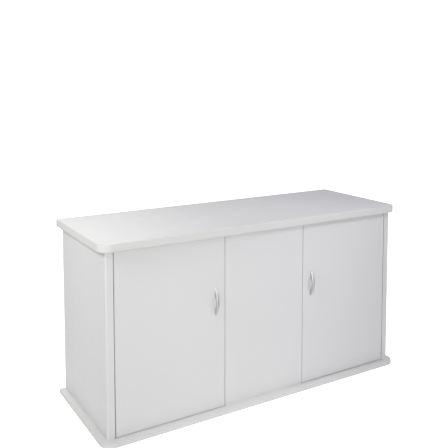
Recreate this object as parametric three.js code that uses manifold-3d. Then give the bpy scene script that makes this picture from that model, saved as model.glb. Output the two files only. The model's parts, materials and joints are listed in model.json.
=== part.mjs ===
// Aquarium stand cabinet with two inset doors, a fixed centre panel and an overhanging top and base board.
// Millimetres. Origin on the floor under the middle of the base board, +X right, +Y back, +Z up.
// The front of the cabinet faces -Y.
import * as THREE from 'three';
import { mergeVertices } from 'three/addons/utils/BufferGeometryUtils.js';
import Module from 'manifold-3d';

const wasm = await Module();
wasm.setup();

// Driving dimensions: boards
const boardWidth = 1210;
const baseDepth = 440;
const baseThick = 15;
const topThick = 25;
const topDepth = 434;
const totalHeight = 630;
const cornerRadius = 40;
const backY = baseDepth / 2;
const topUnderside = totalHeight - topThick;

// Driving dimensions: body between the boards
const bodyHalfWidth = 583;
const frontY = -193;
const panelThick = 16;
const postWidth = 25;
const postDepth = 60;
const postEdgeRadius = 5;
const partitionThick = 22;
const backThick = 8;
const backInset = 8;

// The gap between touching pieces, and how far a cutting tool runs past the face it opens
const clearance = 0.3;
const overshoot = 1;

// Driving dimensions: doors
const hingeSideGap = 3;
const doorGap = 2;
const doorWidth = 391;
const doorThick = panelThick;
const doorBottom = baseThick + doorGap;
const doorTop = topUnderside - doorGap;
const doorOuterX = bodyHalfWidth - postWidth - hingeSideGap;
const doorInnerX = doorOuterX - doorWidth;
const centreHalfWidth = doorInnerX - doorGap;
const partitionMidX = centreHalfWidth + doorGap / 2;
const partitionInnerX = partitionMidX - partitionThick / 2;
const partitionOuterX = partitionMidX + partitionThick / 2;
const sideInnerX = bodyHalfWidth - panelThick;
const innerFrontY = frontY + doorThick + clearance;

// Driving dimensions: bow handle and its screws
const handleX = 200;
const handleZ = 382;
const handleHalfLength = 47.5;
const handleRise = 19.5;
const handleGapHalf = 21;
const handleGapRise = 12.5;
const handleHalfWidth = 5.2;
const screwSpacing = 64;
const screwRadius = 2;
const screwBite = 7;
const screwHeadRadius = 4.2;
const screwHeadThick = 2.4;
const handleHoleRadius = screwRadius + clearance;

// Driving dimensions: concealed cup hinge, u from the door's hinge edge, v behind the door's front face
const hingeFromEnd = 90;
const pinU = 13;
const pinV = 8;
const pinRadius = 1.5;
const pinLength = 17;
const runningGap = 0.1;
const cupU = 20.5;
const cupRadius = 17.5;
const cupDepth = 12;
const cupWall = 1;
const flangeRadius = 19.5;
const flangeThick = 1;
const earThick = 2;
const earReach = 2.6;
const barrelRadius = 2.4;
const armWidth = 12;
const armThick = 3;
const armSlope = THREE.MathUtils.degToRad(27);
const armReachU = 36;
const armCrankU = 38.5;
const armCrankV = 26.5;
const armEndV = 72;
const plateThick = 3;
const plateFrontV = 38;
const plateBackV = 76;
const plateHalfHeight = 24;
const plateWaist = 9;
const armScrewV = 60;
const armScrewRadius = 3.6;
const armScrewHead = 2.2;

// Driving dimensions: catches, grommets and joint blocks
const catchZ = 545;
const catchLength = 44;
const catchWidth = 13;
const catchDepth = 16;
const strikeThick = 1;
const strikeWidth = 11;
const strikeMargin = 1;
const strikeLength = 36;
const grommetZ = 470;
const grommetInset = 80;
const grommetBore = 25;
const grommetBarrel = 29.7;
const grommetFlange = 34;
const grommetFlangeThick = 2.5;
const blockSize = 20;
const blockLength = 40;
const blockChamfer = 9;
const blockYs = [-70, 150];
const partitionBlockY = 40;

const white = new THREE.MeshStandardMaterial({ color: 0xe4e4e2, roughness: 0.45, metalness: 0 });
const whiteShade = new THREE.MeshStandardMaterial({ color: 0xd8d8d6, roughness: 0.55, metalness: 0 });
const satinChrome = new THREE.MeshStandardMaterial({ color: 0xb4b4b6, roughness: 0.3, metalness: 1 });
const nickel = new THREE.MeshStandardMaterial({ color: 0xc2c0bb, roughness: 0.35, metalness: 1 });
const darkPlastic = new THREE.MeshStandardMaterial({ color: 0x3c3d40, roughness: 0.5, metalness: 0 });
const whitePlastic = new THREE.MeshStandardMaterial({ color: 0xe9e9e6, roughness: 0.5, metalness: 0 });

const cabinet = new THREE.Group();

function place(name, geometry, material) {
  const mesh = new THREE.Mesh(geometry, material);
  mesh.name = name;
  cabinet.add(mesh);
}

function toSolid(geometry) {
  const bare = geometry.clone();
  bare.deleteAttribute('normal');
  bare.deleteAttribute('uv');
  const merged = mergeVertices(bare, 1e-3);
  const vertProperties = new Float32Array(merged.attributes.position.array);
  const triVerts = new Uint32Array(merged.index.array);
  return new wasm.Manifold(new wasm.Mesh({ numProp: 3, vertProperties, triVerts }));
}

function toGeometry(solid) {
  const mesh = solid.getMesh();
  const geometry = new THREE.BufferGeometry();
  geometry.setAttribute('position', new THREE.BufferAttribute(mesh.vertProperties, 3));
  geometry.setIndex(new THREE.BufferAttribute(mesh.triVerts, 1));
  return geometry;
}

function cut(geometry, tools) {
  let solid = toSolid(geometry);
  for (const tool of tools) solid = solid.subtract(toSolid(tool));
  return toGeometry(solid);
}

function join(geometries) {
  let solid = toSolid(geometries[0]);
  for (const geometry of geometries.slice(1)) solid = solid.add(toSolid(geometry));
  return toGeometry(solid);
}

function overlapOf(first, second) {
  return toGeometry(toSolid(first).intersect(toSolid(second)));
}

// A box between two corners, whose x limits may come in either order.
function slab(xA, xB, y0, y1, z0, z1) {
  const geometry = new THREE.BoxGeometry(Math.abs(xB - xA), y1 - y0, z1 - z0);
  return geometry.translate((xA + xB) / 2, (y0 + y1) / 2, (z0 + z1) / 2);
}

// A plan outline raised from z0 to z1.
function raise(shape, z0, z1, curveSegments = 12) {
  const geometry = new THREE.ExtrudeGeometry(shape, { depth: z1 - z0, bevelEnabled: false, curveSegments });
  return geometry.translate(0, 0, z0);
}

// A cylinder along Y (front to back), between y0 and y1.
function rodAlongY(radius, x, y0, y1, z, sides = 24) {
  return new THREE.CylinderGeometry(radius, radius, y1 - y0, sides).translate(x, (y0 + y1) / 2, z);
}

// An upright cylinder centred on height z.
function rodAlongZ(radius, x, y, z, length, sides = 24) {
  return new THREE.CylinderGeometry(radius, radius, length, sides).rotateX(Math.PI / 2).translate(x, y, z);
}

// A board with square back corners and rounded front corners.
function boardOutline(width, yFront, yBack, radius) {
  const half = width / 2;
  const shape = new THREE.Shape();
  shape.moveTo(-half, yBack);
  shape.lineTo(-half, yFront + radius);
  shape.absarc(-half + radius, yFront + radius, radius, Math.PI, 1.5 * Math.PI, false);
  shape.lineTo(half - radius, yFront);
  shape.absarc(half - radius, yFront + radius, radius, 1.5 * Math.PI, 2 * Math.PI, false);
  shape.lineTo(half, yBack);
  shape.closePath();
  return shape;
}

function addBoards() {
  const baseFront = backY - baseDepth;
  const topFront = backY - topDepth;
  place('base_board', raise(boardOutline(boardWidth, baseFront, backY, cornerRadius), 0, baseThick), white);
  const top = boardOutline(boardWidth, topFront, backY, cornerRadius);
  place('top_board', raise(top, topUnderside, totalHeight), white);
}

// The upright at each front corner, with an eased outer edge.
function cornerPost(side) {
  const outer = side * bodyHalfWidth;
  const inner = side * (bodyHalfWidth - postWidth);
  const eased = side * (bodyHalfWidth - postEdgeRadius);
  const shape = new THREE.Shape();
  shape.moveTo(inner, frontY);
  shape.lineTo(eased, frontY);
  shape.quadraticCurveTo(outer, frontY, outer, frontY + postEdgeRadius);
  shape.lineTo(outer, frontY + postDepth);
  shape.lineTo(inner, frontY + postDepth);
  shape.closePath();
  return raise(shape, baseThick, topUnderside, 5);
}

function addBody(side, label) {
  const postBack = frontY + postDepth;
  const outer = side * bodyHalfWidth;
  place(`corner_post_${label}`, cornerPost(side), white);
  const sideFace = slab(outer, side * sideInnerX, postBack, backY, baseThick, topUnderside);
  place(`side_panel_${label}`, sideFace, white);
  const inner = side * partitionInnerX;
  const face = side * partitionOuterX;
  place(`partition_${label}`, slab(inner, face, innerFrontY, backY, baseThick, topUnderside), white);
}

function addCentre() {
  const front = slab(-centreHalfWidth, centreHalfWidth, frontY, frontY + panelThick, baseThick, topUnderside);
  place('centre_front_panel', front, white);
  const backFace = backY - backInset;
  const inner = partitionInnerX;
  const back = slab(-inner, inner, backFace - backThick, backFace, baseThick, topUnderside);
  place('back_panel_centre', back, whiteShade);
}

// The back of an outer bay, with a round hole for hoses and cables and the grommet that lines it.
function addBack(side, label) {
  const backFace = backY - backInset;
  const innerFace = backFace - backThick;
  const holeX = side * (sideInnerX - grommetInset);
  const outer = side * sideInnerX;
  const panel = slab(outer, side * partitionOuterX, innerFace, backFace, baseThick, topUnderside);
  const holeRadius = grommetBarrel + clearance;
  const hole = rodAlongY(holeRadius, holeX, innerFace - overshoot, backFace + overshoot, grommetZ, 32);
  place(`back_panel_${label}`, cut(panel, [hole]), whiteShade);

  const flangeY = clearance + grommetFlangeThick;
  const profile = [
    new THREE.Vector2(grommetBore, -backThick),
    new THREE.Vector2(grommetBarrel - clearance, -backThick),
    new THREE.Vector2(grommetBarrel - clearance, clearance),
    new THREE.Vector2(grommetFlange, clearance),
    new THREE.Vector2(grommetFlange, flangeY),
    new THREE.Vector2(grommetBore, flangeY),
    new THREE.Vector2(grommetBore, -backThick),
  ];
  const ring = new THREE.LatheGeometry(profile, 32).translate(holeX, backFace, grommetZ);
  place(`cable_grommet_${label}`, ring, darkPlastic);
}

const hingeHeights = { lower: doorBottom + hingeFromEnd, upper: doorTop - hingeFromEnd };
const screwHeights = { lower: handleZ - screwSpacing / 2, upper: handleZ + screwSpacing / 2 };

// Maps hinge-side plan coordinates to the model's x and y.
function hingePoint(side, u, v) {
  return new THREE.Vector2(side * (doorOuterX - u), frontY + v);
}

function addDoor(side, label) {
  const doorBack = frontY + doorThick;
  const panel = slab(side * doorOuterX, side * doorInnerX, frontY, doorBack, doorBottom, doorTop);
  const tools = [];
  for (const z of Object.values(hingeHeights)) {
    const pocketX = hingePoint(side, cupU, 0).x;
    const pocketFloor = doorBack - cupDepth - clearance;
    tools.push(rodAlongY(cupRadius + clearance, pocketX, pocketFloor, doorBack + overshoot, z, 40));
  }
  for (const z of Object.values(screwHeights)) {
    tools.push(rodAlongY(handleHoleRadius, side * handleX, frontY - overshoot, doorBack + overshoot, z, 16));
  }
  place(`door_${label}`, cut(panel, tools), white);
}

// The side view of the bow: an outer arc from tip to tip and an inner arc over the finger gap.
function bowProfile() {
  const arcRadius = (half, rise) => (half * half + rise * rise) / (2 * rise);
  const outer = arcRadius(handleHalfLength, handleRise);
  const inner = arcRadius(handleGapHalf, handleGapRise);
  const outerSpan = Math.asin(handleHalfLength / outer);
  const innerSpan = Math.asin(handleGapHalf / inner);
  const shape = new THREE.Shape();
  shape.moveTo(handleHalfLength, 0);
  shape.absarc(0, handleRise - outer, outer, Math.PI / 2 - outerSpan, Math.PI / 2 + outerSpan, false);
  shape.lineTo(-handleGapHalf, 0);
  shape.absarc(0, handleGapRise - inner, inner, Math.PI / 2 + innerSpan, Math.PI / 2 - innerSpan, true);
  shape.closePath();
  return shape;
}

// The front view of the bow: a leaf, widest in the middle and pointed at both ends.
function leafOutline() {
  const bend = 0.8 * handleHalfLength;
  const bendWidth = 0.75 * handleHalfWidth;
  const belly = 0.45 * handleHalfLength;
  const shape = new THREE.Shape();
  shape.moveTo(-handleHalfLength, 0);
  shape.bezierCurveTo(-bend, bendWidth, -belly, handleHalfWidth, 0, handleHalfWidth);
  shape.bezierCurveTo(belly, handleHalfWidth, bend, bendWidth, handleHalfLength, 0);
  shape.bezierCurveTo(bend, -bendWidth, belly, -handleHalfWidth, 0, -handleHalfWidth);
  shape.bezierCurveTo(-belly, -handleHalfWidth, -bend, -bendWidth, -handleHalfLength, 0);
  return shape;
}

function addHandle(side, label) {
  const faceY = frontY - clearance;
  // Both outlines are drawn with the handle's length along X, then stood upright.
  const bow = raise(bowProfile(), -handleHalfWidth, handleHalfWidth, 20);
  const leaf = raise(leafOutline(), -overshoot, handleRise + overshoot, 8).rotateX(-Math.PI / 2);
  const handle = overlapOf(bow, leaf);
  // Length X becomes Z, rise Y becomes -Y (away from the door), width Z becomes X.
  const stand = new THREE.Matrix4().set(
    0, 0, 1, side * handleX,
    0, -1, 0, faceY,
    1, 0, 0, handleZ,
    0, 0, 0, 1,
  );
  handle.applyMatrix4(stand);
  const tools = Object.values(screwHeights).map((z) => (
    rodAlongY(handleHoleRadius, side * handleX, faceY - screwBite, faceY + overshoot, z, 16)
  ));
  place(`handle_${label}`, cut(handle, tools), satinChrome);
  for (const [level, z] of Object.entries(screwHeights)) {
    place(`handle_${label}_screw_${level}`, handleScrew(side, z), nickel);
  }
}

// A pan-head screw that runs from the back of the door into the handle's foot.
function handleScrew(side, z) {
  const seat = clearance + doorThick;
  const profile = [
    new THREE.Vector2(0, -screwBite),
    new THREE.Vector2(screwRadius, -screwBite),
    new THREE.Vector2(screwRadius, seat),
    new THREE.Vector2(screwHeadRadius, seat),
    new THREE.Vector2(screwHeadRadius * 0.8, seat + screwHeadThick * 0.8),
    new THREE.Vector2(screwHeadRadius * 0.4, seat + screwHeadThick),
    new THREE.Vector2(0, seat + screwHeadThick),
  ];
  return new THREE.LatheGeometry(profile, 16).translate(side * handleX, frontY, z);
}

// The pressed cup with the two ears that carry the pin.
function hingeCup(side, z) {
  const seat = doorThick + clearance;
  const floor = doorThick - cupDepth;
  const inner = cupRadius - cupWall;
  const profile = [
    new THREE.Vector2(0, floor),
    new THREE.Vector2(cupRadius, floor),
    new THREE.Vector2(cupRadius, seat),
    new THREE.Vector2(flangeRadius, seat),
    new THREE.Vector2(flangeRadius, seat + flangeThick),
    new THREE.Vector2(inner, seat + flangeThick),
    new THREE.Vector2(inner, floor + cupWall),
    new THREE.Vector2(0, floor + cupWall),
  ];
  const centre = hingePoint(side, cupU, 0);
  const pin = hingePoint(side, pinU, pinV);
  const cup = new THREE.LatheGeometry(profile, 32).translate(centre.x, centre.y, z);
  const pieces = [cup];
  const earStart = armWidth / 2 + clearance;
  for (const end of [-1, 1]) {
    const zNear = z + end * earStart;
    const zFar = z + end * (earStart + earThick);
    const earFloor = centre.y + floor + cupWall / 2;
    pieces.push(slab(pin.x - earReach, pin.x + earReach, earFloor, pin.y + earReach,
      Math.min(zNear, zFar), Math.max(zNear, zFar)));
  }
  const bore = rodAlongZ(pinRadius + runningGap, pin.x, pin.y, z, pinLength + 2 * overshoot, 16);
  return cut(join(pieces), [bore]);
}

// A flat strip of one thickness that follows a plan path, as a closed outline.
function stripOutline(points, thick) {
  const left = [];
  const right = [];
  for (let i = 0; i < points.length; i += 1) {
    const before = points[Math.max(i - 1, 0)];
    const after = points[Math.min(i + 1, points.length - 1)];
    const into = points[i].clone().sub(before).normalize();
    const out = after.clone().sub(points[i]).normalize();
    if (i === 0) into.copy(out);
    if (i === points.length - 1) out.copy(into);
    const bisector = into.clone().add(out).normalize();
    const normal = new THREE.Vector2(-bisector.y, bisector.x);
    const reach = thick / 2 / Math.abs(normal.dot(new THREE.Vector2(-into.y, into.x)));
    left.push(points[i].clone().addScaledVector(normal, reach));
    right.push(points[i].clone().addScaledVector(normal, -reach));
  }
  return new THREE.Shape([...left, ...right.reverse()]);
}

// The cranked arm: out of the cup mouth, back past the door's sweep, and along the post.
function hingeArm(side, z) {
  const armU = -hingeSideGap + plateThick + clearance + armThick / 2;
  const slopeV = pinV + (armReachU - pinU) * Math.tan(armSlope);
  const path = [
    hingePoint(side, pinU, pinV),
    hingePoint(side, armReachU, slopeV),
    hingePoint(side, armCrankU, armCrankV),
    hingePoint(side, armU, armCrankV),
    hingePoint(side, armU, armEndV),
  ];
  const strip = raise(stripOutline(path, armThick), z - armWidth / 2, z + armWidth / 2);
  const barrel = rodAlongZ(barrelRadius, path[0].x, path[0].y, z, armWidth, 20);
  const bore = rodAlongZ(pinRadius + runningGap, path[0].x, path[0].y, z, armWidth + 2 * overshoot, 20);
  return cut(join([strip, barrel]), [bore]);
}

// The winged plate that holds the arm to the corner post.
function mountingPlate(side, z) {
  const shape = new THREE.Shape();
  const middle = (plateFrontV + plateBackV) / 2;
  shape.moveTo(plateFrontV, -plateWaist);
  shape.lineTo(middle - plateWaist, -plateHalfHeight);
  shape.lineTo(middle + plateWaist, -plateHalfHeight);
  shape.lineTo(plateBackV, -plateWaist);
  shape.lineTo(plateBackV, plateWaist);
  shape.lineTo(middle + plateWaist, plateHalfHeight);
  shape.lineTo(middle - plateWaist, plateHalfHeight);
  shape.lineTo(plateFrontV, plateWaist);
  shape.closePath();
  const plate = new THREE.ExtrudeGeometry(shape, { depth: plateThick, bevelEnabled: false });
  // Outline X becomes Y, outline Y becomes Z, depth becomes X.
  plate.applyMatrix4(new THREE.Matrix4().set(0, 0, 1, 0, 1, 0, 0, frontY, 0, 1, 0, z, 0, 0, 0, 1));
  const postFace = bodyHalfWidth - postWidth;
  const nearFace = side > 0 ? postFace - plateThick : -postFace;
  return plate.translate(nearFace, 0, 0);
}

// The countersunk head of the screw that clamps the arm to its plate.
function armScrew(side, z) {
  const armFace = -hingeSideGap + plateThick + clearance + armThick + clearance;
  const at = hingePoint(side, armFace + armScrewHead / 2, armScrewV);
  return new THREE.CylinderGeometry(armScrewRadius, armScrewRadius, armScrewHead, 18)
    .rotateZ(Math.PI / 2).translate(at.x, at.y, z);
}

function addHinges(side, label) {
  for (const [level, z] of Object.entries(hingeHeights)) {
    const name = `hinge_${label}_${level}`;
    const pin = hingePoint(side, pinU, pinV);
    place(`${name}_cup`, hingeCup(side, z), nickel);
    place(`${name}_pin`, rodAlongZ(pinRadius, pin.x, pin.y, z, pinLength, 16), nickel);
    place(`${name}_arm`, hingeArm(side, z), nickel);
    place(`${name}_plate`, mountingPlate(side, z), nickel);
    place(`${name}_arm_screw`, armScrew(side, z), nickel);
  }
}

// A magnetic catch on the partition and the steel strike plate on the back of the door.
function addCatch(side, label) {
  const strikeFront = frontY + doorThick + clearance;
  const strikeBack = strikeFront + strikeThick;
  const catchFront = strikeBack + clearance;
  const wall = side * partitionOuterX;
  const room = side * (partitionOuterX + catchWidth);
  const body = slab(wall, room, catchFront, catchFront + catchDepth,
    catchZ - catchLength / 2, catchZ + catchLength / 2);
  place(`magnetic_catch_${label}`, body, whitePlastic);
  const strikeNear = side * (partitionOuterX + strikeMargin);
  const strikeFar = side * (partitionOuterX + strikeMargin + strikeWidth);
  const strike = slab(strikeNear, strikeFar, strikeFront, strikeBack,
    catchZ - strikeLength / 2, catchZ + strikeLength / 2);
  place(`strike_plate_${label}`, strike, nickel);
}

// A plastic corner block screwed between an upright panel and the top or base board.
function jointBlock(wallX, toward, y, below) {
  const shape = new THREE.Shape();
  const wallZ = below ? baseThick : topUnderside;
  const up = below ? 1 : -1;
  shape.moveTo(wallX, wallZ);
  shape.lineTo(wallX + toward * blockSize, wallZ);
  shape.lineTo(wallX + toward * blockSize, wallZ + up * (blockSize - blockChamfer));
  shape.lineTo(wallX + toward * (blockSize - blockChamfer), wallZ + up * blockSize);
  shape.lineTo(wallX, wallZ + up * blockSize);
  shape.closePath();
  const block = new THREE.ExtrudeGeometry(shape, { depth: blockLength, bevelEnabled: false });
  return block.rotateX(Math.PI / 2).translate(0, y + blockLength / 2, 0);
}

function addBlocks(side, label) {
  for (const level of ['lower', 'upper']) {
    const below = level === 'lower';
    blockYs.forEach((y, index) => {
      const name = `joint_block_${label}_${level}_${index === 0 ? 'front' : 'back'}`;
      place(name, jointBlock(side * sideInnerX, -side, y, below), whitePlastic);
    });
    const name = `joint_block_${label}_${level}_partition`;
    place(name, jointBlock(side * partitionOuterX, side, partitionBlockY, below), whitePlastic);
  }
}

addBoards();
addCentre();
for (const [label, side] of [['left', -1], ['right', 1]]) {
  addBody(side, label);
  addBack(side, label);
  addDoor(side, label);
  addHandle(side, label);
  addHinges(side, label);
  addCatch(side, label);
  addBlocks(side, label);
}

export default cabinet;
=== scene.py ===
"""The looks of the aquarium stand cabinet: white boards, bow handles, hinges and inner fittings."""
import json
import math

import bmesh
import bpy
from mathutils import Matrix, Vector


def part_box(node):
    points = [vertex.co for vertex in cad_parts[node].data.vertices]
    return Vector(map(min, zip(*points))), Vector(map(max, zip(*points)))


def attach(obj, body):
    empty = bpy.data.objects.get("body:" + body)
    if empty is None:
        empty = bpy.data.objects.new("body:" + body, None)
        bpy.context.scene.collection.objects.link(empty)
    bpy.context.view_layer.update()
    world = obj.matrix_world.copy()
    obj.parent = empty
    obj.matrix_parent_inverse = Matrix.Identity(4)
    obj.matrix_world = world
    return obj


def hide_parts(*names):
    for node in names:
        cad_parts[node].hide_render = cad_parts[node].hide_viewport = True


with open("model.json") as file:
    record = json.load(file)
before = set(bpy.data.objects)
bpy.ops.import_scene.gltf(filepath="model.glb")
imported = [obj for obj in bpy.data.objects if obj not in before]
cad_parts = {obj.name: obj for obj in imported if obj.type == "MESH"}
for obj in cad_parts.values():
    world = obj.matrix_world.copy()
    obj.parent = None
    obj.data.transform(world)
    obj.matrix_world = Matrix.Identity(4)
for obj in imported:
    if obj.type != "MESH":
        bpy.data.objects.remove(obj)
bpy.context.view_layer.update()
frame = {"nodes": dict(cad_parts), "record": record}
nodes = frame["nodes"]
MM = 0.001
X, Y, Z = range(3)
BACK = (0, 1, 0)
UP = (0, 0, 1)
SIDES = (("left", -1), ("right", 1))
LEVELS = ("lower", "upper")


# ---------------------------------------------------------------- materials

NOISE_LOW, NOISE_HIGH = 0.3, 0.7


class Shader:
    """A principled material and the few node calls that its recipes use."""

    def __init__(self, name):
        self.material = bpy.data.materials.new(name)
        self.material.use_nodes = True
        self.tree = self.material.node_tree
        self.bsdf = self.tree.nodes["Principled BSDF"]
        self.coords = self.add("ShaderNodeTexCoord").outputs["Object"]

    def add(self, kind, **inputs):
        """A new node, its inputs given by name with _ for a space."""
        node = self.tree.nodes.new(kind)
        for key, value in inputs.items():
            self.put(node.inputs[key.replace("_", " ")], value)
        return node

    def put(self, socket, value):
        """Feeds an input from another node's output, or sets it to a plain value."""
        if isinstance(value, bpy.types.NodeSocket):
            self.tree.links.new(value, socket)
        else:
            socket.default_value = value

    def set(self, **inputs):
        """Sets inputs of the principled shader."""
        for key, value in inputs.items():
            self.put(self.bsdf.inputs[key.replace("_", " ")], value)

    def noise(self, scale, detail=2, roughness=0.5, stretch=(1, 1, 1)):
        """Noise with about scale grains to the metre, drawn out along an axis whose stretch is below 1."""
        mapping = self.add("ShaderNodeMapping", Vector=self.coords, Scale=stretch)
        noise = self.add("ShaderNodeTexNoise", Vector=mapping.outputs[0],
                         Scale=scale, Detail=detail, Roughness=roughness)
        return noise.outputs["Fac"]

    def ramp(self, value, low, high):
        """Stretches a noise, most of which lies between NOISE_LOW and NOISE_HIGH, to low..high."""
        node = self.add("ShaderNodeMapRange", Value=value, From_Min=NOISE_LOW, From_Max=NOISE_HIGH,
                        To_Min=low, To_Max=high)
        return node.outputs["Result"]

    def mix(self, factor, tone, shade):
        """A colour between two, tone where factor is 0 and shade where it is 1."""
        node = self.add("ShaderNodeMix")
        node.data_type = "RGBA"
        for key, value in (("Factor", factor), ("A", (*tone, 1)), ("B", (*shade, 1))):
            self.put(node.inputs[key], value)
        return node.outputs["Result"]

    def bump(self, height, distance, strength):
        """Bends the surface's shading by a height."""
        node = self.add("ShaderNodeBump", Height=height, Distance=distance, Strength=strength)
        self.set(Normal=node.outputs["Normal"])


def laminate(name, tone, shade):
    """White melamine: a fine pearl emboss, a faint cloudiness and slightly uneven gloss."""
    s = Shader(name)
    cloud = s.ramp(s.noise(2.6, detail=3), low=0, high=1)
    gloss = s.ramp(s.noise(34, detail=4), low=0.40, high=0.50)
    pearl = s.noise(1500, roughness=0.55)
    s.set(Base_Color=s.mix(cloud, tone, shade), Roughness=gloss, Specular_IOR_Level=0.4)
    s.bump(pearl, distance=0.04 * MM, strength=0.35)
    return s.material


def hardboard(name, tone, shade):
    """The painted thin backs: a soft fibre pattern under white paint."""
    s = Shader(name)
    fibre = s.noise(260, detail=6, roughness=0.7, stretch=(1, 1, 0.35))
    gloss = s.ramp(s.noise(60, detail=3), low=0.52, high=0.64)
    s.set(Base_Color=s.mix(s.ramp(fibre, low=0, high=1), tone, shade), Roughness=gloss)
    s.bump(fibre, distance=0.12 * MM, strength=0.5)
    return s.material


def metal(name, tone, shade, roughness, line_scale, stretch):
    """Plated or brushed metal with fine drawn lines and a little tarnish."""
    s = Shader(name)
    tarnish = s.ramp(s.noise(60, detail=3), low=0, high=1)
    lines = s.noise(line_scale, detail=3, roughness=0.6, stretch=stretch)
    gloss = s.ramp(lines, low=roughness - 0.05, high=roughness + 0.08)
    s.set(Metallic=1, Base_Color=s.mix(tarnish, tone, shade), Roughness=gloss)
    s.bump(lines, distance=0.02 * MM, strength=0.3)
    return s.material


def plastic(name, tone, shade, roughness):
    """Moulded plastic with a fine spark-eroded grain."""
    s = Shader(name)
    cloud = s.ramp(s.noise(40, detail=3), low=0, high=1)
    gloss = s.ramp(s.noise(500), low=roughness - 0.05, high=roughness + 0.05)
    s.set(Base_Color=s.mix(cloud, tone, shade), Roughness=gloss)
    s.bump(s.noise(2200), distance=0.03 * MM, strength=0.4)
    return s.material


MATERIALS = {
    "white_laminate": laminate("white_laminate", (0.60, 0.60, 0.60), (0.612, 0.612, 0.612)),
    "back_board": hardboard("back_board", (0.71, 0.71, 0.69), (0.76, 0.76, 0.745)),
    "satin_chrome": metal("satin_chrome", (0.58, 0.58, 0.59), (0.64, 0.64, 0.65),
                          roughness=0.43, line_scale=1800, stretch=(1, 1, 0.05)),
    "hinge_nickel": metal("hinge_nickel", (0.66, 0.64, 0.60), (0.72, 0.70, 0.66),
                          roughness=0.3, line_scale=900, stretch=(1, 0.2, 1)),
    "dark_plastic": plastic("dark_plastic", (0.040, 0.040, 0.043), (0.055, 0.055, 0.058), roughness=0.5),
    "white_plastic": plastic("white_plastic", (0.76, 0.76, 0.74), (0.80, 0.80, 0.785), roughness=0.45),
}
EDGE_BAND = laminate("edge_band", (0.58, 0.58, 0.57), (0.592, 0.592, 0.582))


# ---------------------------------------------------------------- mesh helpers

PIECE_MERGE = 0.0001 * MM
WELD_MERGE = 0.001 * MM
NEARLY_HALF = 0.49


def link(name, data):
    """Adds an object to the scene."""
    thing = bpy.data.objects.new(name, data)
    bpy.context.scene.collection.objects.link(thing)
    return thing


def to_mesh(name, bm, merge_distance):
    """Turns a bmesh into a mesh whose faces point outward."""
    bmesh.ops.remove_doubles(bm, verts=bm.verts, dist=merge_distance)
    bmesh.ops.recalc_face_normals(bm, faces=bm.faces)
    mesh = bpy.data.meshes.new(name)
    bm.to_mesh(mesh)
    bm.free()
    return mesh


def finish_piece(name, bm, slot, body, replaces=(), material=None, sharp_deg=35):
    """Turns a bmesh into a shaded piece that rides on a body."""
    mesh = to_mesh(name, bm, PIECE_MERGE)
    mesh.shade_smooth()
    mesh.set_sharp_from_angle(angle=math.radians(sharp_deg))
    mesh.materials.append(material or MATERIALS[slot])
    piece = link(name, mesh)
    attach(piece, body)
    if replaces:
        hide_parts(*replaces)


def add_rings(bm, rings, close=True, cap=True):
    """Joins equal-length rings of points into a skin; caps close the first and last ring."""
    loops = [[bm.verts.new(p) for p in ring] for ring in rings]
    count = len(loops[0])
    for a, b in zip(loops, loops[1:]):
        for i in range(count if close else count - 1):
            j = (i + 1) % count
            bm.faces.new((a[i], a[j], b[j], b[i]))
    if cap:
        bm.faces.new(reversed(loops[0]))
        bm.faces.new(loops[-1])
    return loops


def in_mm(pairs):
    """Points in metres from pairs in millimetres."""
    return [(a * MM, b * MM) for a, b in pairs]


def rectangle(a0, b0, a1, b1):
    """The corners of a rectangle, in order."""
    return [(a0, b0), (a1, b0), (a1, b1), (a0, b1)]


def bend(start, corner, end, steps):
    """Points on a curve from start to end that heads for corner from both."""
    points = []
    for k in range(steps + 1):
        t = k / steps
        points.append((1 - t) ** 2 * start + 2 * t * (1 - t) * corner + t * t * end)
    return points


def rounded_levels(start, end, arris, steps=4):
    """(inset, height) pairs for an edge from start to end whose two arrises are rounded."""
    quarter = [math.radians(90 * i / steps) for i in range(steps + 1)]
    low = [(arris * (1 - math.sin(a)), start + arris * (1 - math.cos(a))) for a in quarter]
    high = [(arris * (1 - math.cos(a)), end - arris * (1 - math.sin(a))) for a in quarter]
    return low + high


def rounded_outline(points, radius, steps=6):
    """A closed outline with a curve of about that radius at each corner."""
    points = [Vector(p) for p in points]
    out = []
    for i, corner in enumerate(points):
        back, ahead = points[i - 1] - corner, points[(i + 1) % len(points)] - corner
        tangent = radius / math.tan(back.angle(ahead) / 2)
        reach = min(tangent, NEARLY_HALF * back.length, NEARLY_HALF * ahead.length)
        out += bend(corner + back.normalized() * reach, corner, corner + ahead.normalized() * reach, steps)
    return out


def inset_outline(points, depth):
    """A closed outline drawn in by depth along its own normals."""
    area = sum(a.x * b.y - b.x * a.y for a, b in zip(points, points[1:] + points[:1]))
    turn = 1 if area > 0 else -1
    out = []
    for i, point in enumerate(points):
        along = (points[(i + 1) % len(points)] - points[i - 1]).normalized()
        out.append(point + depth * turn * Vector((-along.y, along.x)))
    return out


def prism(bm, outline, start, end, arris, at, steps=2):
    """Raises an outline from start to end with rounded arrises; at(a, b, height) places a point."""
    rings = []
    for depth, height in rounded_levels(start, end, arris, steps):
        ring = inset_outline(outline, depth) if depth else outline
        rings.append([at(p.x, p.y, height) for p in ring])
    add_rings(bm, rings)


def facing(at, axis):
    """The matrix that moves the origin to a place and turns up to an axis."""
    return Matrix.Translation(at) @ Vector(UP).rotation_difference(Vector(axis)).to_matrix().to_4x4()


def lathe(bm, profile, centre, axis, segments):
    """Turns (radius, distance along axis) pairs, from axis to axis or round a closed ring."""
    place = facing(centre, axis)
    rings = []
    for radius, height in profile:
        ring = []
        for i in range(segments):
            angle = 2 * math.pi * i / segments
            ring.append(place @ Vector((radius * math.cos(angle), radius * math.sin(angle), height)))
        rings.append(ring)
    add_rings(bm, rings, cap=False)


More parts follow.
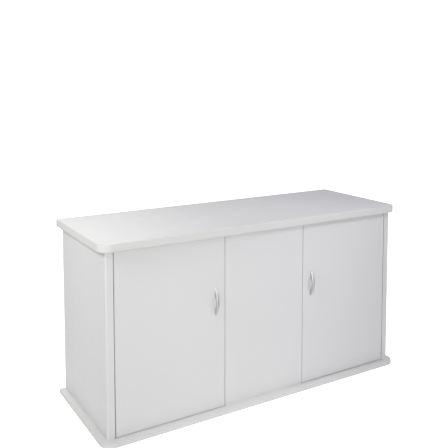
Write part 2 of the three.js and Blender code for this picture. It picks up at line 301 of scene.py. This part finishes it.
def soft_box(bm, low, high, arris, segments=2):
    """A box whose edges are all rounded."""
    made = bmesh.ops.create_cube(bm, size=1)
    size = [b - a for a, b in zip(low, high)]
    centre = [(a + b) / 2 for a, b in zip(low, high)]
    bmesh.ops.scale(bm, vec=size, verts=made["verts"])
    bmesh.ops.translate(bm, vec=centre, verts=made["verts"])
    edges = {edge for vert in made["verts"] for edge in vert.link_edges}
    bmesh.ops.bevel(bm, geom=list(edges), offset=arris, segments=segments, profile=0.5, affect="EDGES")


def soften(piece, width, segments, sharp_deg=40):
    """Rounds a piece's sharp edges with modifiers, so its own mesh stays as it is."""
    weld = piece.modifiers.new("weld", "WELD")
    weld.merge_threshold = WELD_MERGE
    bevel = piece.modifiers.new("arris", "BEVEL")
    bevel.width = width
    bevel.segments = segments
    bevel.limit_method = "ANGLE"
    bevel.angle_limit = math.radians(sharp_deg)


# ---------------------------------------------------------------- boards and panels

BAND = 1.0 * MM
BAND_ARRIS = 0.4 * MM
BOARD_BAND = 1.2 * MM
BOARD_ARRIS = 0.9 * MM
CORE_ARRIS = 0.15 * MM
SEAM = 0.05 * MM
CORNER_RADIUS = 40 * MM
# The CAD nodes that are kept: how their names start, their arris and its segments.
SOFTENED = (("back_panel", 0.4 * MM, 2), ("corner_post", 0.8 * MM, 3), ("joint_block", 1.4 * MM, 3))


def board_outline(half, front, back, inset, z, arc_steps=20):
    """A plan outline with rounded front corners, its front and ends drawn in by inset, at height z."""
    half, front, radius = half - inset, front + inset, CORNER_RADIUS - inset
    points = [Vector((-half, back, z))]
    for side, start in ((-1, 180), (1, 270)):
        centre = Vector((side * (half - radius), front + radius, z))
        for i in range(arc_steps + 1):
            angle = math.radians(start + 90 * i / arc_steps)
            points.append(centre + radius * Vector((math.cos(angle), math.sin(angle), 0)))
    points.append(Vector((half, back, z)))
    return points


def banded_board(node_name):
    """A board whose front and ends carry one glued edge band with rounded arrises."""
    low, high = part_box(node_name)
    shape = (high.x, low.y, high.y)

    core = bmesh.new()
    inner_edge = BOARD_BAND + SEAM
    add_rings(core, [board_outline(*shape, inner_edge + d, z)
                     for d, z in rounded_levels(low.z, high.z, CORE_ARRIS, 2)])
    finish_piece(node_name + "_core", core, "white_laminate", "cabinet", (node_name,))

    strip = bmesh.new()
    outer = [board_outline(*shape, d, z) for d, z in rounded_levels(low.z, high.z, BOARD_ARRIS)]
    inner = [board_outline(*shape, BOARD_BAND, z) for z in (high.z, low.z)]
    loops = add_rings(strip, outer + inner, close=False, cap=False)
    first, last = loops[0], loops[-1]
    for i in range(len(first) - 1):
        strip.faces.new((last[i], last[i + 1], first[i + 1], first[i]))
    strip.faces.new([loop[0] for loop in loops])
    strip.faces.new([loop[-1] for loop in reversed(loops)])
    finish_piece(node_name + "_edge_band", strip, "white_laminate", "cabinet", (node_name,), EDGE_BAND)


def banded_panel(node_name, body, banded_edges):
    """A panel's core, drawn in from its CAD mesh, and the strips on its edges, as (axis, end) pairs."""
    low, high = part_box(node_name)
    core = nodes[node_name].data.copy()
    strips = bmesh.new()
    inner_low, inner_high = low.copy(), high.copy()
    for axis, end in banded_edges:
        edge = (high if end > 0 else low)[axis]
        strip_low, strip_high = inner_low.copy(), inner_high.copy()
        if end > 0:
            strip_low[axis] = edge - BAND
            inner_high[axis] = edge - BAND - SEAM
        else:
            strip_high[axis] = edge + BAND
            inner_low[axis] = edge + BAND + SEAM
        soft_box(strips, strip_low, strip_high, BAND_ARRIS)
        for vert in core.vertices:
            if abs(vert.co[axis] - edge) < SEAM:
                vert.co[axis] = edge - end * (BAND + SEAM)
    finish_piece(node_name + "_edge_band", strips, "white_laminate", body, (node_name,), EDGE_BAND)
    core.materials.clear()
    core.materials.append(MATERIALS["white_laminate"])
    piece = link(node_name + "_core", core)
    soften(piece, CORE_ARRIS, segments=2)
    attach(piece, body)
    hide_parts(node_name)


def dress_cad_nodes():
    """Every CAD node gets its slot's material, and the ones that stay get softened edges."""
    slot_of = {row["node"]: row["material_slot"] for row in frame["record"]["subparts"]}
    for name, node in nodes.items():
        node.data.materials.clear()
        node.data.materials.append(MATERIALS[slot_of[name]])
        for prefix, arris, segments in SOFTENED:
            if name.startswith(prefix):
                soften(node, arris, segments)


def build_panels():
    """The two boards and every panel whose edges carry strips."""
    banded_board("base_board")
    banded_board("top_board")
    banded_panel("centre_front_panel", "cabinet", ((X, -1), (X, 1)))
    for label, _ in SIDES:
        banded_panel("side_panel_" + label, "cabinet", ((Y, 1),))
        banded_panel("partition_" + label, "cabinet", ((Y, -1), (Y, 1)))
        banded_panel("door_" + label, "door_" + label, ((X, -1), (X, 1), (Z, -1), (Z, 1)))


# ---------------------------------------------------------------- handles

FINGER_HALF = 21 * MM
FINGER_RISE = 12.5 * MM
LEAF_CURVE = ((1, 0), (0.8, 0.75), (0.45, 1), (0, 1))
TIP_CROWDING = 1.3
BOW_SQUARENESS = 0.62
FOOT_SQUARENESS = 0.3


def arc_height(z, half, rise):
    """Height at z of an arc that spans half each way and rises rise in the middle."""
    radius = (half * half + rise * rise) / (2 * rise)
    return max(math.sqrt(max(radius * radius - z * z, 0)) - (radius - rise), 0)


def leaf_stations(half_length, half_width, steps):
    """(distance from the middle, half width) pairs from one pointed end of the leaf to its middle."""
    pairs = []
    for k in range(1, steps + 1):
        t = (k / steps) ** TIP_CROWDING
        weights = ((1 - t) ** 3, 3 * t * (1 - t) ** 2, 3 * t * t * (1 - t), t ** 3)
        along, across = (sum(w * p[i] for w, p in zip(weights, LEAF_CURVE)) for i in (0, 1))
        pairs.append((along * half_length, across * half_width))
    return pairs


def swelled(value, power):
    """A sine or cosine whose round is drawn out towards a square, the more so the lower the power."""
    return math.copysign(abs(value) ** power, value)


def handle(label, steps=44, around=32):
    """A cast bow handle: a slim leaf, solid at its feet and arched over the finger gap."""
    node = "handle_" + label
    low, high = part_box(node)
    centre = (low + high) / 2
    half_length, rise, half_width = (high.z - low.z) / 2, high.y - low.y, (high.x - low.x) / 2
    half = leaf_stations(half_length, half_width, steps)
    stations = [(-z, width) for z, width in half] + [(z, width) for z, width in reversed(half[:-1])]
    rings = []
    for z, width in stations:
        outer = arc_height(z, half_length, rise)
        inner = min(arc_height(z, FINGER_HALF, FINGER_RISE), outer)
        middle, depth = (outer + inner) / 2, (outer - inner) / 2
        ring = []
        for i in range(around):
            angle = 2 * math.pi * i / around
            under_foot = math.sin(angle) < 0 and inner <= 0
            x = width * swelled(math.cos(angle), BOW_SQUARENESS)
            y = middle + depth * swelled(math.sin(angle), FOOT_SQUARENESS if under_foot else BOW_SQUARENESS)
            ring.append(Vector((centre.x + x, high.y - y, centre.z + z)))
        rings.append(ring)
    bm = bmesh.new()
    add_rings(bm, rings)
    finish_piece("bow_handle_" + label, bm, "satin_chrome", "door_" + label, (node,), sharp_deg=60)


# ---------------------------------------------------------------- screws

SCREW_MERGE = 1e-5
HANDLE_SCREW_HEAD = 2.4 * MM
# The other screws' heads, as radius and height.
TAB_SCREW = (3.4 * MM, 1.6 * MM)
ADJUSTING_SCREW = (3.0 * MM, 1.2 * MM)
CLAMPING_SCREW = (3.8 * MM, 1.8 * MM)
PLATE_SCREW = (3.8 * MM, 1.9 * MM)
CATCH_SCREW = (2.9 * MM, 1.5 * MM)
STRIKE_SCREW = (2.6 * MM, 1.0 * MM)
BLOCK_SCREW = (3.3 * MM, 1.6 * MM)


def screw_head(bm):
    """A domed head of radius 1 and height 1 on a short shank."""
    shank, depth, rim, fullness = 0.55, 0.4, 0.96, 0.7
    angles = [math.radians(degrees) for degrees in (0, 12, 28, 45, 62, 76)]
    dome = [(math.cos(angle) ** fullness, math.sin(angle)) for angle in angles]
    profile = [(0, -depth), (shank, -depth), (shank, 0), (rim, 0)] + dome + [(0, 1)]
    lathe(bm, profile, Vector(), UP, segments=28)


def cross_recess(bm):
    """The cross that is cut out of the head, tapering to its bottom."""
    reach, thin = 0.5, 0.1
    corner = [(thin, thin), (thin, reach), (-thin, reach)]
    cross = []
    for _ in range(4):
        cross += corner
        corner = [(-y, x) for x, y in corner]
    levels = ((0.55, 0.25), (1, 0.9), (1, 1.4))
    add_rings(bm, [[Vector((x * taper, y * taper, z)) for x, y in cross] for taper, z in levels])


def make_screw():
    """The mesh of a pan-head screw of radius 1 and head height 1, with its cross recess cut in."""
    made = []
    for name, shape in (("screw", screw_head), ("recess", cross_recess)):
        bm = bmesh.new()
        shape(bm)
        made.append(link(name, to_mesh(name, bm, SCREW_MERGE)))
    head, recess = made
    cut = head.modifiers.new("cross", "BOOLEAN")
    cut.object = recess
    cut.operation = "DIFFERENCE"
    cut.solver = "EXACT"
    solid = head.evaluated_get(bpy.context.evaluated_depsgraph_get())
    screw = bpy.data.meshes.new_from_object(solid)
    for temporary in made:
        bpy.data.objects.remove(temporary)
    return screw


def add_screws(name, body, spots, replaces=()):
    """Screws, each spot being a seat, the way the head faces, the head's radius and its height."""
    bm = bmesh.new()
    for seat, axis, radius, height in spots:
        before = set(bm.verts)
        bm.from_mesh(SCREW)
        matrix = facing(seat, axis) @ Matrix.Diagonal((radius, radius, height, 1))
        bmesh.ops.transform(bm, matrix=matrix, verts=[v for v in bm.verts if v not in before])
    finish_piece(name, bm, "hinge_nickel", body, replaces)


def handle_screws(label):
    """The two screws that hold a handle, with their heads on the back of the door."""
    for level in LEVELS:
        node = f"handle_{label}_screw_{level}"
        low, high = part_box(node)
        seat = Vector(((low.x + high.x) / 2, high.y - HANDLE_SCREW_HEAD, (low.z + high.z) / 2))
        radius = (high.x - low.x) / 2
        add_screws(node + "_head", "door_" + label, [(seat, BACK, radius, HANDLE_SCREW_HEAD)], (node,))


# ---------------------------------------------------------------- hinges
# A hinge is drawn as (u, v, w): u inward from the door's hinge edge, v back from the door's front face
# and w up from the middle of the hinge.

PIN = (13 * MM, 8 * MM)
PIN_RADIUS = 1.5 * MM
PIN_HALF = 8.5 * MM
PIN_EASE = 0.4 * MM
EYE_BORE = 1.56 * MM
EYE_RADIUS = 2.4 * MM
EYE_EASE = 0.3 * MM
CUP_U = 20.5 * MM
CUP_SEAT = 16.3 * MM
TAB_THICK = 1.1 * MM
TAB_ARRIS = 0.25 * MM
ARM_HALF_THICK = 1.5 * MM
ARM_HALF_WIDE = 6 * MM
ARM_SLOPE_DEG = 27
SLOPE_RUN = 23 * MM
CRANK = (38.5 * MM, 26.5 * MM)
BEND_REACH = 4.5 * MM
BEND_SHARE = 0.45
CLAMP_U = 1.8 * MM
CLAMP_V = 40 * MM
CLAMP_TOP = 9.1 * MM
PLATE_U = (-3 * MM, -0.8 * MM)
PLATE_V = (38 * MM, 76 * MM)


def hinge_frame(label, side, level):
    """The function that turns a hinge's own (u, v, w) into a place on the cabinet."""
    low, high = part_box("door_" + label)
    edge = high.x if side > 0 else low.x
    pin_low, pin_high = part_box(f"hinge_{label}_{level}_pin")
    middle = (pin_low.z + pin_high.z) / 2
    return lambda u, v, w: Vector((edge - side * u, low.y + v, middle + w))


def cup_shell(bm, at):
    """The drawn cup with its rolled rim."""
    base, floor, wall, rim = 4.05, 5.1, 17.45, 19.6
    seat, top = 16.3, 17.4
    outside = [(0, base), (15.4, base), (16.9, 4.5), (wall, 6), (wall, seat)]
    flange = [(rim - 0.4, seat), (rim, 16.6), (rim, 17.1), (rim - 0.4, top)]
    inside = [(17.6, top), (16.9, 17.1), (16.4, seat), (16.3, 7), (15.6, 5.6), (14.6, floor), (0, floor)]
    lathe(bm, in_mm(outside + flange + inside), at(CUP_U, 0, 0), BACK, segments=64)


def cup_tab(bm, at, end):
    """One screw tab beside the cup, lying on the back of the door."""
    corners = [(3.5, 17.4), (8, 15.8), (12.5, 13), (16, 12.5), (16, 30), (3.5, 30)]
    outline = rounded_outline(in_mm(corners), radius=4 * MM)
    prism(bm, outline, CUP_SEAT, CUP_SEAT + TAB_THICK, TAB_ARRIS, lambda a, b, c: at(CUP_U + a, c, end * b))


def cup_ear(bm, at, end):
    """One ear inside the cup, which carries an end of the pin."""
    margin, foot, near, far = 3 * MM, 4.6 * MM, 6.4 * MM, 8.2 * MM
    corners = rectangle(PIN[0] - margin, foot, PIN[0] + margin, PIN[1] + margin)
    outline = rounded_outline(corners, radius=2.4 * MM)
    prism(bm, outline, near, far, TAB_ARRIS, lambda a, b, c: at(a, b, end * c))


def cup(name, at, body):
    """The cup, its two tabs and ears, its screws and the pin."""
    screw_u, screw_w = CUP_U + 9.5 * MM, 24 * MM
    screws = []
    bm = bmesh.new()
    cup_shell(bm, at)
    for end in (-1, 1):
        cup_tab(bm, at, end)
        cup_ear(bm, at, end)
        screws.append((at(screw_u, CUP_SEAT + TAB_THICK, end * screw_w), BACK, *TAB_SCREW))
    finish_piece(name + "_cup_shell", bm, "hinge_nickel", body, (name + "_cup",))
    add_screws(name + "_cup_screws", body, screws)

    rod = bmesh.new()
    profile = [(0, -PIN_HALF), (PIN_RADIUS - PIN_EASE, -PIN_HALF), (PIN_RADIUS, -PIN_HALF + PIN_EASE),
               (PIN_RADIUS, PIN_HALF - PIN_EASE), (PIN_RADIUS - PIN_EASE, PIN_HALF), (0, PIN_HALF)]
    lathe(rod, profile, at(*PIN, 0), UP, segments=36)
    finish_piece(name + "_pin_rod", rod, "hinge_nickel", body, (name + "_pin",))


def arm_path():
    """The arm's (u, v) path from the wall of its eye to the plate, with its bends rounded."""
    pin = Vector(PIN)
    slope_end = pin + SLOPE_RUN * Vector((1, math.tan(math.radians(ARM_SLOPE_DEG))))
    wall = (EYE_BORE + EYE_RADIUS) / 2
    corners = [pin + (slope_end - pin).normalized() * wall, slope_end]
    corners += [Vector(p) for p in (CRANK, (CLAMP_U, CRANK[1]), (CLAMP_U, CLAMP_V))]
    path = [corners[0]]
    for before, corner, after in zip(corners, corners[1:], corners[2:]):
        back, ahead = before - corner, after - corner
        reach = min(BEND_REACH, BEND_SHARE * back.length, BEND_SHARE * ahead.length)
        path += bend(corner + back.normalized() * reach, corner, corner + ahead.normalized() * reach, 6)
    return path + [corners[-1]]


def arm_bar(bm, at):
    """The pressed bar, a rounded section that is led along the path."""
    corners = rectangle(-ARM_HALF_THICK, -ARM_HALF_WIDE, ARM_HALF_THICK, ARM_HALF_WIDE)
    section = rounded_outline(corners, radius=1.1 * MM, steps=3)
    path = arm_path()
    rings = []
    for i, point in enumerate(path):
        along = path[min(i + 1, len(path) - 1)] - path[max(i - 1, 0)]
        across = Vector((-along.y, along.x)).normalized()
        rings.append([at(point.x + across.x * p.x, point.y + across.y * p.x, p.y) for p in section])
    add_rings(bm, rings)


def arm_eye(bm, at):
    """The rolled eye round the pin."""
    half = ARM_HALF_WIDE
    profile = [(EYE_BORE, -half), (EYE_RADIUS - EYE_EASE, -half), (EYE_RADIUS, -half + EYE_EASE),
               (EYE_RADIUS, half - EYE_EASE), (EYE_RADIUS - EYE_EASE, half), (EYE_BORE, half)]
    lathe(bm, profile + profile[:1], at(*PIN, 0), UP, segments=36)


def arm_clamp(bm, at):
    """The arm's thick end, which is clamped to the plate."""
    side_view = [(0.4, 31), (6.5, 31), (9.2, 39), (9.2, 68), (6.2, 74.5), (0.4, 74.5)]
    outline = rounded_outline(in_mm(side_view), radius=2.2 * MM)
    half_wide = 6.8 * MM
    prism(bm, outline, -half_wide, half_wide, 1.1 * MM, at, steps=4)


def arm(name, at, inward):
    """The cranked arm and the two screws in its clamped end."""
    bm = bmesh.new()
    arm_bar(bm, at)
    arm_eye(bm, at)
    arm_clamp(bm, at)
    finish_piece(name + "_arm_body", bm, "hinge_nickel", "cabinet", (name + "_arm",))
    adjusting = (at(CLAMP_TOP, 46 * MM, 0), inward, *ADJUSTING_SCREW)
    clamping = (at(CLAMP_TOP, 61 * MM, 0), inward, *CLAMPING_SCREW)
    add_screws(name + "_arm_screws", "cabinet", [adjusting, clamping], (name + "_arm_screw",))


def mounting_plate(name, at, inward):
    """The winged plate on the corner post, with a rail under the arm and a screw in each wing."""
    (post_face, plate_face), (front, back) = PLATE_U, PLATE_V
    middle = (front + back) / 2
    waist, shoulder, wing, screw_w = 9 * MM, 12 * MM, 24 * MM, 17 * MM
    lower = [(front, -waist), (middle - waist, -shoulder), (middle - waist, -wing),
             (middle + waist, -wing), (middle + waist, -shoulder), (back, -waist)]
    plate = rounded_outline(lower + [(v, -w) for v, w in reversed(lower)], radius=4 * MM)
    margin, rail_half, rail_foot, rail_top = 2 * MM, 6 * MM, plate_face - 0.5 * MM, 0.35 * MM
    corners = rectangle(front + margin, -rail_half, back - margin, rail_half)
    rail = rounded_outline(corners, radius=2 * MM)
    bm = bmesh.new()
    prism(bm, plate, post_face, plate_face, 0.5 * MM, lambda a, b, c: at(c, a, b), steps=3)
    prism(bm, rail, rail_foot, rail_top, 0.3 * MM, lambda a, b, c: at(c, a, b), steps=3)
    finish_piece(name + "_plate_body", bm, "hinge_nickel", "cabinet", (name + "_plate",))
    screws = [(at(plate_face, middle, end * screw_w), inward, *PLATE_SCREW) for end in (-1, 1)]
    add_screws(name + "_plate_screws", "cabinet", screws)


def build_hinges(label, side):
    """A door's two hinges, whose cups ride on the door and whose arms and plates stay on the cabinet."""
    for level in LEVELS:
        name = f"hinge_{label}_{level}"
        at = hinge_frame(label, side, level)
        inward = (-side, 0, 0)
        cup(name, at, "door_" + label)
        arm(name, at, inward)
        mounting_plate(name, at, inward)


# ---------------------------------------------------------------- catches, blocks and grommets

def catch(label, side):
    """The magnetic catch: a lugged housing with a magnet between two steel plates, and its screws."""
    node = "magnetic_catch_" + label
    low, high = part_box(node)
    wall = low.x if side > 0 else high.x
    middle_z = (low.z + high.z) / 2
    front = low.y + 1.3 * MM
    lug_thick, screw_z = 3.2 * MM, 17.5 * MM
    housing_half, magnet_half, pole_half, pole_z = 13 * MM, 6.8 * MM, 0.8 * MM, 8 * MM

    def block(bm, reach, depth, height, arris, segments=2):
        """A soft box between two distances from the wall, two depths and two heights about the middle."""
        near, far = sorted(wall + side * distance for distance in reach)
        bottom, top = (middle_z + z for z in height)
        soft_box(bm, (near, depth[0], bottom), (far, depth[1], top), arris, segments)

    housing = bmesh.new()
    lugs = rounded_outline(rectangle(front, low.z, high.y, high.z), radius=5 * MM)
    prism(housing, lugs, 0, lug_thick, 0.5 * MM, lambda a, b, c: Vector((wall + side * c, a, b)), steps=3)
    block(housing, reach=(2 * MM, high.x - low.x), depth=(front, high.y),
          height=(-housing_half, housing_half), arris=1.2 * MM, segments=3)
    finish_piece(node + "_housing", housing, "white_plastic", "cabinet", (node,))

    poles = bmesh.new()
    for z in (-pole_z, pole_z):
        block(poles, reach=(3.5 * MM, 11.5 * MM), depth=(low.y, front + 4 * MM),
              height=(z - pole_half, z + pole_half), arris=0.2 * MM)
    finish_piece(node + "_pole_plates", poles, "hinge_nickel", "cabinet")

    magnet = bmesh.new()
    block(magnet, reach=(4 * MM, 11 * MM), depth=(low.y + 0.7 * MM, front + 3 * MM),
          height=(-magnet_half, magnet_half), arris=0.3 * MM)
    finish_piece(node + "_magnet", magnet, "dark_plastic", "cabinet")

    screws = []
    for z in (-screw_z, screw_z):
        seat = Vector((wall + side * lug_thick, (front + high.y) / 2, middle_z + z))
        screws.append((seat, (side, 0, 0), *CATCH_SCREW))
    add_screws(node + "_screws", "cabinet", screws)


def strike(label):
    """The steel strike plate on the back of the door, held by one screw."""
    node, body = "strike_plate_" + label, "door_" + label
    low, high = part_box(node)
    bm = bmesh.new()
    outline = rounded_outline(rectangle(low.x, low.z, high.x, high.z), radius=3 * MM)
    prism(bm, outline, low.y, high.y, 0.25 * MM, lambda a, b, c: Vector((a, c, b)), steps=3)
    finish_piece(node + "_steel", bm, "hinge_nickel", body, (node,))
    sunk = 0.2 * MM
    seat = Vector(((low.x + high.x) / 2, high.y - sunk, (low.z + high.z) / 2))
    add_screws(node + "_screw", body, [(seat, BACK, *STRIKE_SCREW)])


def block_screws():
    """Two screws in each joint block: one into the upright, one into the board."""
    leg, aside = 5.5 * MM, 10 * MM
    for name in nodes:
        if not name.startswith("joint_block"):
            continue
        low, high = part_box(name)
        below = "_lower_" in name
        up = 1 if below else -1
        board, free = (low.z, high.z) if below else (high.z, low.z)
        towards_right = name.startswith("joint_block_left") != name.endswith("_partition")
        inward = 1 if towards_right else -1
        wall, room = (low.x, high.x) if towards_right else (high.x, low.x)
        middle_y = (low.y + high.y) / 2
        in_upright = Vector((room, middle_y - aside, board + up * leg))
        in_board = Vector((wall + inward * leg, middle_y + aside, free))
        spots = [(in_upright, (inward, 0, 0), *BLOCK_SCREW), (in_board, (0, 0, up), *BLOCK_SCREW)]
        add_screws(name + "_screws", "cabinet", spots)


def grommet(label):
    """The cable grommet: a moulded sleeve with a rounded lip on the outside of the back."""
    node = "cable_grommet_" + label
    low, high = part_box(node)
    centre = Vector(((low.x + high.x) / 2, low.y, (low.z + high.z) / 2))
    bore, tube, ease = 25, 29.4, 0.6
    flange, depth = (high.x - low.x) / 2 / MM, (high.y - low.y) / MM
    seat = depth - 2.5
    sleeve = [(bore, ease), (bore + ease, 0), (tube - ease, 0), (tube, ease), (tube, seat)]
    lip = [(flange - 0.4, seat), (flange, seat + 0.5), (flange - 0.1, seat + 1.2),
           (flange - 1.2, depth - 0.5), (flange - 3, depth - 0.05)]
    mouth = [(bore + 2.6, depth), (bore + 1, depth - 0.5), (bore + 0.1, depth - 1.8), (bore, depth - 3)]
    profile = in_mm(sleeve + lip + mouth)
    bm = bmesh.new()
    lathe(bm, profile + profile[:1], centre, BACK, segments=72)
    finish_piece(node + "_ring", bm, "dark_plastic", "cabinet", (node,))


# ---------------------------------------------------------------- stage

WORLD_SEEN = 1.12
WORLD_FILL = 0.42
FLOOR_SEEN = 0.7
FLOOR_RADIUS = 40
FILL_COLOUR = (0.925, 0.92, 1.0)
KEY_COLOUR = (1.0, 0.99, 0.94)


def seen_and_cast(tree, seen, cast):
    """A glow's strength: seen is what the camera sees of it, cast is what it sheds on everything else."""
    node = tree.nodes.new("ShaderNodeMapRange")
    tree.links.new(tree.nodes.new("ShaderNodeLightPath").outputs["Is Camera Ray"], node.inputs["Value"])
    node.inputs["To Min"].default_value = cast
    node.inputs["To Max"].default_value = seen
    return node.outputs["Result"]


def floor():
    """A wide white disc, which glows for the camera only."""
    bm = bmesh.new()
    bmesh.ops.create_circle(bm, cap_ends=True, segments=96, radius=FLOOR_RADIUS)
    mesh = bpy.data.meshes.new("floor")
    bm.to_mesh(mesh)
    bm.free()
    s = Shader("floor")
    cloud = s.ramp(s.noise(0.8), low=0, high=1)
    s.set(Base_Color=s.mix(cloud, (0.975, 0.975, 0.975), (0.985, 0.985, 0.985)), Roughness=0.7)
    s.set(Emission_Color=(1, 1, 1, 1), Emission_Strength=seen_and_cast(s.tree, FLOOR_SEEN, 0))
    mesh.materials.append(s.material)
    link("floor", mesh)


def light(kind, name, at, target, strength, colour):
    """A light at a place, aimed at a target; returns its data."""
    data = bpy.data.lights.new(name, kind)
    data.energy = strength
    data.color = colour
    lamp = link(name, data)
    lamp.location = at
    lamp.rotation_mode = "QUATERNION"
    lamp.rotation_quaternion = (Vector(target) - Vector(at)).to_track_quat("-Z", "Y")
    return data


def softbox(name, at, target, size, watts, spread_deg, colour):
    """A round area light whose beam fades out past its spread."""
    data = light("AREA", name, at, target, watts, colour)
    data.shape = "DISK"
    data.size = size
    data.spread = math.radians(spread_deg)


def far_light(name, at, strength, angle_deg, colour):
    """An even light from far away, in the direction of at."""
    light("SUN", name, at, (0, 0, 0), strength, colour).angle = math.radians(angle_deg)


def studio():
    """White surroundings that cast less light than they show, three softboxes and three far lights."""
    world = bpy.data.worlds.new("studio")
    world.use_nodes = True
    tree = world.node_tree
    background = tree.nodes["Background"]
    background.inputs["Color"].default_value = (*FILL_COLOUR, 1)
    tree.links.new(seen_and_cast(tree, WORLD_SEEN, WORLD_FILL), background.inputs["Strength"])
    bpy.context.scene.world = world
    softbox("key", at=(-1.9, -3.4, 1.5), target=(-0.32, -0.2, 0.44),
            size=1, watts=4.98, spread_deg=44, colour=KEY_COLOUR)
    softbox("side", at=(-2, -0.5, 1.9), target=(-0.59, 0.06, 0.57),
            size=0.6, watts=1.6, spread_deg=42, colour=KEY_COLOUR)
    softbox("crest", at=(0.9, -1.6, 2), target=(0.3, -0.2, 0.62),
            size=0.5, watts=0.98, spread_deg=42, colour=FILL_COLOUR)
    far_light("overhead", at=(0, 0, 9), strength=0.25, angle_deg=20, colour=FILL_COLOUR)
    far_light("back", at=(0, 6, 4.2), strength=0.75, angle_deg=40, colour=KEY_COLOUR)
    far_light("right", at=(6, 0.5, 3.4), strength=0.5, angle_deg=40, colour=KEY_COLOUR)
    bpy.context.scene.view_settings.view_transform = "Standard"


def camera():
    """A nearly level camera, whose frame is shifted down onto the cabinet."""
    pitch_down, turn_right = 4.5, 31.071
    data = bpy.data.cameras.new("camera")
    data.sensor_width = 36
    data.lens = 53.29
    data.shift_x, data.shift_y = -0.0011, -0.2118
    data.clip_end = 100
    cam = link("camera", data)
    cam.location = (-1.2824, -2.0475, 1.1268)
    cam.rotation_euler = (math.radians(90 - pitch_down), 0, math.radians(-turn_right))
    bpy.context.scene.camera = cam


camera()
studio()
floor()
SCREW = make_screw()
dress_cad_nodes()
build_panels()
for label, side in SIDES:
    handle(label)
    handle_screws(label)
    build_hinges(label, side)
    catch(label, side)
    strike(label)
    grommet(label)
block_screws()
